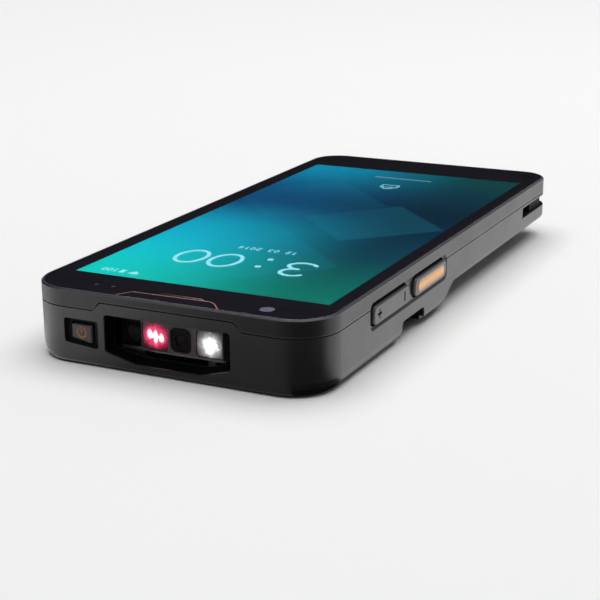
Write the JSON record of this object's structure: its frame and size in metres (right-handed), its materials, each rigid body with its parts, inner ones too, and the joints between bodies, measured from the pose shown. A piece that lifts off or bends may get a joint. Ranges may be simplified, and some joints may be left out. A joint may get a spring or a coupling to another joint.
{
  "type": "portable barcode data terminal",
  "caption": "Handheld touch-screen terminal with a barcode scanner in its head end, side scan keys, a volume rocker and a hinged battery pack on its back.",
  "frame": {"origin": "middle of the resting plane, under the terminal's centre", "axes": "-Y towards the scanning head, +Y towards the tail with the USB inlet, +X the side with the volume rocker, +Z out of the screen"},
  "size_m": [0.075, 0.1586, 0.0173],
  "materials": {
    "housing_plastic": "fine moulded texture",
    "frame_plastic": "satin",
    "cover_glass": "polished",
    "border_ink": "printed, seen through glass",
    "gasket_rubber": "soft",
    "display_panel": "smooth",
    "display_chassis": "stamped",
    "camera_black": "smooth",
    "scan_window": "polished, slightly tinted",
    "engine_casting": "bead-blasted",
    "aimer_lens": "clear red",
    "illumination_lens": "frosted",
    "imager_black": "moulded",
    "optic_glass": "coated",
    "circuit_board": "solder mask",
    "bracket_steel": "stamped",
    "screw_steel": "blackened",
    "key_plastic": "satin",
    "symbol_orange": "printed",
    "insert_orange": "satin",
    "switch_black": "smooth",
    "shield_steel": "tinned",
    "antenna_plastic": "moulded",
    "connector_black": "moulded",
    "speaker_black": "moulded",
    "motor_steel": "drawn",
    "rear_window": "polished",
    "flash_white": "frosted",
    "battery_case": "fine moulded texture",
    "cell_foil": "laminated foil",
    "contact_gold": "gold plated",
    "latch_plastic": "satin",
    "spring_steel": "drawn wire",
    "inlet_steel": "drawn",
    "tongue_black": "moulded"
  },
  "bodies": {
    "terminal_body": {"rear_housing": "housing_plastic", "front_frame": "frame_plastic", "cover_glass": "cover_glass", "glass_border": "border_ink", "glass_gasket": "gasket_rubber", "display_panel": "display_panel", "display_chassis": "display_chassis", "front_camera": "camera_black", "light_sensors": "camera_black", "earpiece": "speaker_black", "scan_window": "scan_window", "scan_window_gasket": "gasket_rubber", "scan_engine": "engine_casting", "aimer_lens": "aimer_lens", "illumination_lens": "illumination_lens", "imager_barrel": "imager_black", "imager_lens": "optic_glass", "ranging_lens": "optic_glass", "engine_board": "circuit_board", "engine_bracket": "bracket_steel", "engine_screws": "screw_steel", "power_switch": "switch_black", "power_board": "circuit_board", "volume_switches": "switch_black", "trigger_switch_right": "switch_black", "trigger_switch_left": "switch_black", "main_board": "circuit_board", "processor_shield": "shield_steel", "radio_shield": "shield_steel", "antenna_carrier": "antenna_plastic", "board_screws": "screw_steel", "housing_screws": "screw_steel", "battery_connector": "connector_black", "loudspeaker": "speaker_black", "vibration_motor": "motor_steel", "rear_camera": "camera_black", "rear_camera_window": "rear_window", "flash_window": "flash_white", "flash_light": "flash_white", "usb_receptacle": "inlet_steel", "usb_tongue": "tongue_black"},
    "battery_pack": {"battery_shell": "battery_case", "battery_lid": "battery_case", "battery_cell": "cell_foil", "battery_contacts": "contact_gold", "latch_spring_right": "spring_steel", "latch_spring_left": "spring_steel"},
    "latch_right_slider": {"latch_right": "latch_plastic"},
    "latch_left_slider": {"latch_left": "latch_plastic"},
    "power_key": {"power_button": "key_plastic", "power_symbol": "symbol_orange"},
    "volume_key": {"volume_rocker": "key_plastic"},
    "trigger_right_key": {"scan_trigger_right": "key_plastic", "trigger_insert_right": "insert_orange"},
    "trigger_left_key": {"scan_trigger_left": "key_plastic", "trigger_insert_left": "insert_orange"}
  },
  "joints": [
    {"name": "battery_pack_hinge", "type": "hinge", "parent": "terminal_body", "child": "battery_pack", "pos_m": [0, 0.0542, 0.0026], "axis": [1, 0, 0], "range_deg": [0, 30]},
    {"name": "latch_right_slide", "type": "slide", "parent": "battery_pack", "child": "latch_right_slider", "axis": [-1, 0, 0], "range_m": [0, 0.0015], "stiffness_N_per_m": 300, "springref_m": -0.002},
    {"name": "latch_left_slide", "type": "slide", "parent": "battery_pack", "child": "latch_left_slider", "axis": [1, 0, 0], "range_m": [0, 0.0015], "stiffness_N_per_m": 300, "springref_m": -0.002},
    {"name": "power_button_press", "type": "slide", "parent": "terminal_body", "child": "power_key", "axis": [0, 1, 0], "range_m": [0, 0.0005], "stiffness_N_per_m": 1200, "springref_m": -0.0006},
    {"name": "volume_rocker_tilt", "type": "hinge", "parent": "terminal_body", "child": "volume_key", "pos_m": [0.0347, -0.0423, 0.0113], "axis": [0, 0, 1], "range_deg": [-3, 3], "stiffness_Nm_per_rad": 0.3},
    {"name": "scan_trigger_right_press", "type": "slide", "parent": "terminal_body", "child": "trigger_right_key", "axis": [-1, 0, 0], "range_m": [0, 0.0006], "stiffness_N_per_m": 1200, "springref_m": -0.0006},
    {"name": "scan_trigger_left_press", "type": "slide", "parent": "terminal_body", "child": "trigger_left_key", "axis": [1, 0, 0], "range_m": [0, 0.0006], "stiffness_N_per_m": 1200, "springref_m": -0.0006}
  ]
}
